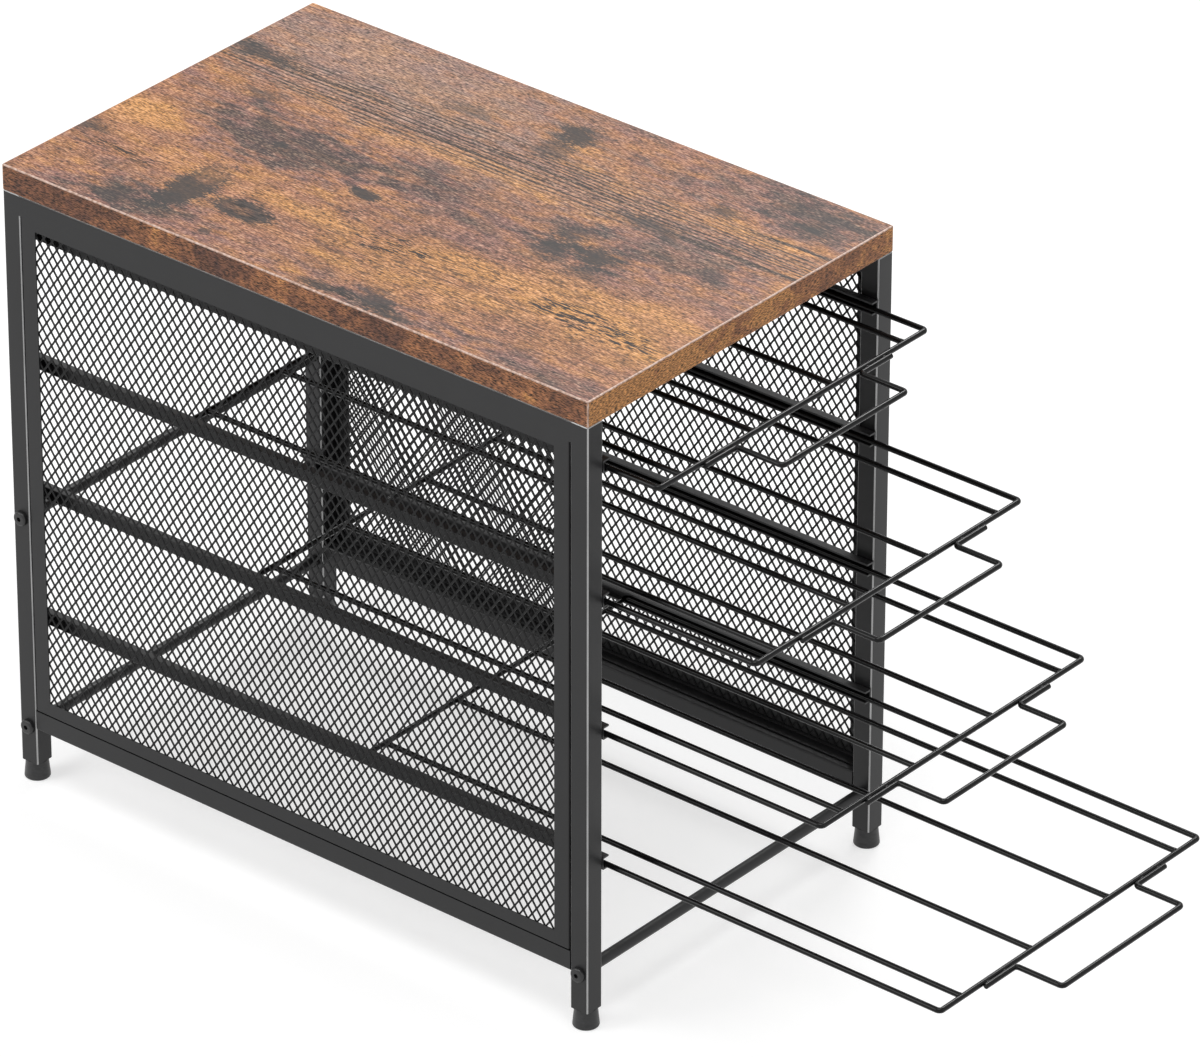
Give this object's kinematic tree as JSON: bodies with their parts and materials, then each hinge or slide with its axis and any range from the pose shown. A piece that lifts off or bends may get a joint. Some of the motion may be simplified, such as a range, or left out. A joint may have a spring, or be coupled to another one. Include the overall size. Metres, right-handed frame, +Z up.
{
  "type": "coffee capsule holder",
  "caption": "Countertop coffee capsule holder: a steel frame with net sides, a wooden top board and sliding wire drawers whose long wires hold capsules by their rims.",
  "frame": {"origin": "bottom centre of the object as it stands with its drawers pulled out, on the plane under the feet", "axes": "+Z up, -Y towards the front, where the drawers pull out, +X to the right seen from the front"},
  "size_m": [0.2002, 0.5221, 0.2986],
  "materials": {
    "board_wood": "satin",
    "frame_steel": "satin",
    "runner_steel": "satin",
    "net_steel": "satin",
    "wire_steel": "gloss",
    "bolt_steel": "satin",
    "screw_steel": "satin",
    "foot_plastic": "matte"
  },
  "bodies": {
    "stand": {"board_screws": "screw_steel", "front_left_foot": "foot_plastic", "front_left_leg": "frame_steel", "front_lower_rod": "frame_steel", "front_right_foot": "foot_plastic", "front_right_leg": "frame_steel", "left_bottom_rail": "frame_steel", "left_panel_frame": "frame_steel", "left_panel_net": "net_steel", "left_runner_1": "runner_steel", "left_runner_2": "runner_steel", "left_runner_3": "runner_steel", "left_runner_4": "runner_steel", "left_top_rail": "frame_steel", "rear_left_foot": "foot_plastic", "rear_left_leg": "frame_steel", "rear_lower_rod": "frame_steel", "rear_middle_rod": "frame_steel", "rear_right_foot": "foot_plastic", "rear_right_leg": "frame_steel", "right_bottom_rail": "frame_steel", "right_panel_frame": "frame_steel", "right_panel_net": "net_steel", "right_runner_1": "runner_steel", "right_runner_2": "runner_steel", "right_runner_3": "runner_steel", "right_runner_4": "runner_steel", "right_top_rail": "frame_steel", "rod_bolts": "bolt_steel", "top_board": "board_wood"},
    "drawer_1": {"drawer_1_loop": "wire_steel", "drawer_1_slot_wires": "wire_steel", "drawer_1_handle": "wire_steel"},
    "drawer_2": {"drawer_2_loop": "wire_steel", "drawer_2_slot_wires": "wire_steel", "drawer_2_handle": "wire_steel"},
    "drawer_3": {"drawer_3_loop": "wire_steel", "drawer_3_slot_wires": "wire_steel", "drawer_3_handle": "wire_steel"},
    "drawer_4": {"drawer_4_loop": "wire_steel", "drawer_4_slot_wires": "wire_steel", "drawer_4_handle": "wire_steel"}
  },
  "joints": [
    {"name": "drawer_1_slide", "type": "slide", "parent": "stand", "child": "drawer_1", "axis": [0, -1, 0], "range_m": [-0.0282, 0.1918]},
    {"name": "drawer_2_slide", "type": "slide", "parent": "stand", "child": "drawer_2", "axis": [0, -1, 0], "range_m": [-0.0788, 0.1412]},
    {"name": "drawer_3_slide", "type": "slide", "parent": "stand", "child": "drawer_3", "axis": [0, -1, 0], "range_m": [-0.1136, 0.1064]},
    {"name": "drawer_4_slide", "type": "slide", "parent": "stand", "child": "drawer_4", "axis": [0, -1, 0], "range_m": [-0.1756, 0.0444]}
  ]
}
